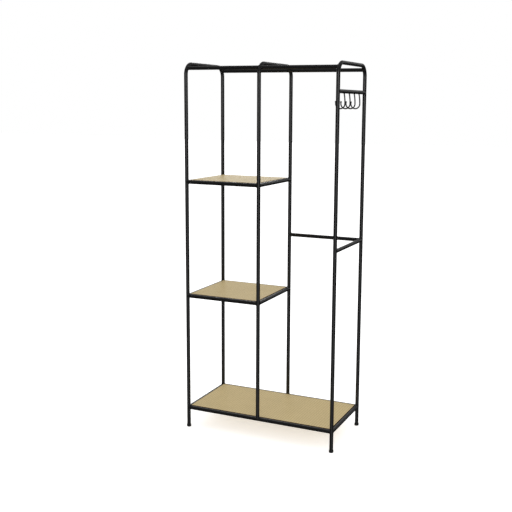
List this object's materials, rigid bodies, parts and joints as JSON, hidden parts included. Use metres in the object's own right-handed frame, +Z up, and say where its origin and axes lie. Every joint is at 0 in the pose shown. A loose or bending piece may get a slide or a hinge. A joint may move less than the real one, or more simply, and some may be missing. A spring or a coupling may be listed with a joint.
{
  "type": "hall tree with hooks",
  "caption": "Open hall tree of black round tube with shelves on one side, a coat rail and a rail of wire hooks on the other.",
  "frame": {"origin": "on the floor, under the middle of the frame", "axes": "+Z up, -Y is the open front, +X is the hanging side with the hooks, -X is the shelf side"},
  "size_m": [0.786, 0.39, 1.8],
  "materials": {
    "black_powder_coat": "satin",
    "shelf_board": "satin",
    "black_plastic": "matte",
    "zinc_steel": "satin"
  },
  "bodies": {
    "frame": {"bottom_shelf_front_rail": "black_powder_coat", "bottom_shelf_left_rail": "black_powder_coat", "bottom_shelf_panel": "shelf_board", "bottom_shelf_rear_rail": "black_powder_coat", "bottom_shelf_right_rail": "black_powder_coat", "coat_rail": "black_powder_coat", "coat_side_rail": "black_powder_coat", "hook_1": "black_powder_coat", "hook_2": "black_powder_coat", "hook_3": "black_powder_coat", "hook_4": "black_powder_coat", "hook_rail": "black_powder_coat", "left_front_lower_post": "black_powder_coat", "left_rear_lower_post": "black_powder_coat", "left_upper_arch": "black_powder_coat", "leg_end_inserts": "black_plastic", "middle_front_lower_post": "black_powder_coat", "middle_rear_lower_post": "black_powder_coat", "middle_shelf_front_rail": "black_powder_coat", "middle_shelf_left_rail": "black_powder_coat", "middle_shelf_panel": "shelf_board", "middle_shelf_rear_rail": "black_powder_coat", "middle_shelf_right_rail": "black_powder_coat", "middle_upper_arch": "black_powder_coat", "panel_screws": "zinc_steel", "post_joint_sleeves": "zinc_steel", "right_front_lower_post": "black_powder_coat", "right_rear_lower_post": "black_powder_coat", "right_upper_arch": "black_powder_coat", "shelf_tabs": "black_powder_coat", "top_front_rail_left": "black_powder_coat", "top_front_rail_right": "black_powder_coat", "top_rear_rail_left": "black_powder_coat", "top_rear_rail_right": "black_powder_coat", "upper_shelf_front_rail": "black_powder_coat", "upper_shelf_left_rail": "black_powder_coat", "upper_shelf_panel": "shelf_board", "upper_shelf_rear_rail": "black_powder_coat", "upper_shelf_right_rail": "black_powder_coat"},
    "left_front_foot": {"left_front_foot_pad": "black_plastic", "left_front_foot_stud": "zinc_steel"},
    "left_rear_foot": {"left_rear_foot_pad": "black_plastic", "left_rear_foot_stud": "zinc_steel"},
    "right_front_foot": {"right_front_foot_pad": "black_plastic", "right_front_foot_stud": "zinc_steel"},
    "right_rear_foot": {"right_rear_foot_pad": "black_plastic", "right_rear_foot_stud": "zinc_steel"}
  },
  "joints": [
    {"name": "left_front_foot_screw", "type": "slide", "parent": "frame", "child": "left_front_foot", "axis": [0, 0, -1], "range_m": [0, 0.008]},
    {"name": "left_rear_foot_screw", "type": "slide", "parent": "frame", "child": "left_rear_foot", "axis": [0, 0, -1], "range_m": [0, 0.008]},
    {"name": "right_front_foot_screw", "type": "slide", "parent": "frame", "child": "right_front_foot", "axis": [0, 0, -1], "range_m": [0, 0.008]},
    {"name": "right_rear_foot_screw", "type": "slide", "parent": "frame", "child": "right_rear_foot", "axis": [0, 0, -1], "range_m": [0, 0.008]}
  ]
}
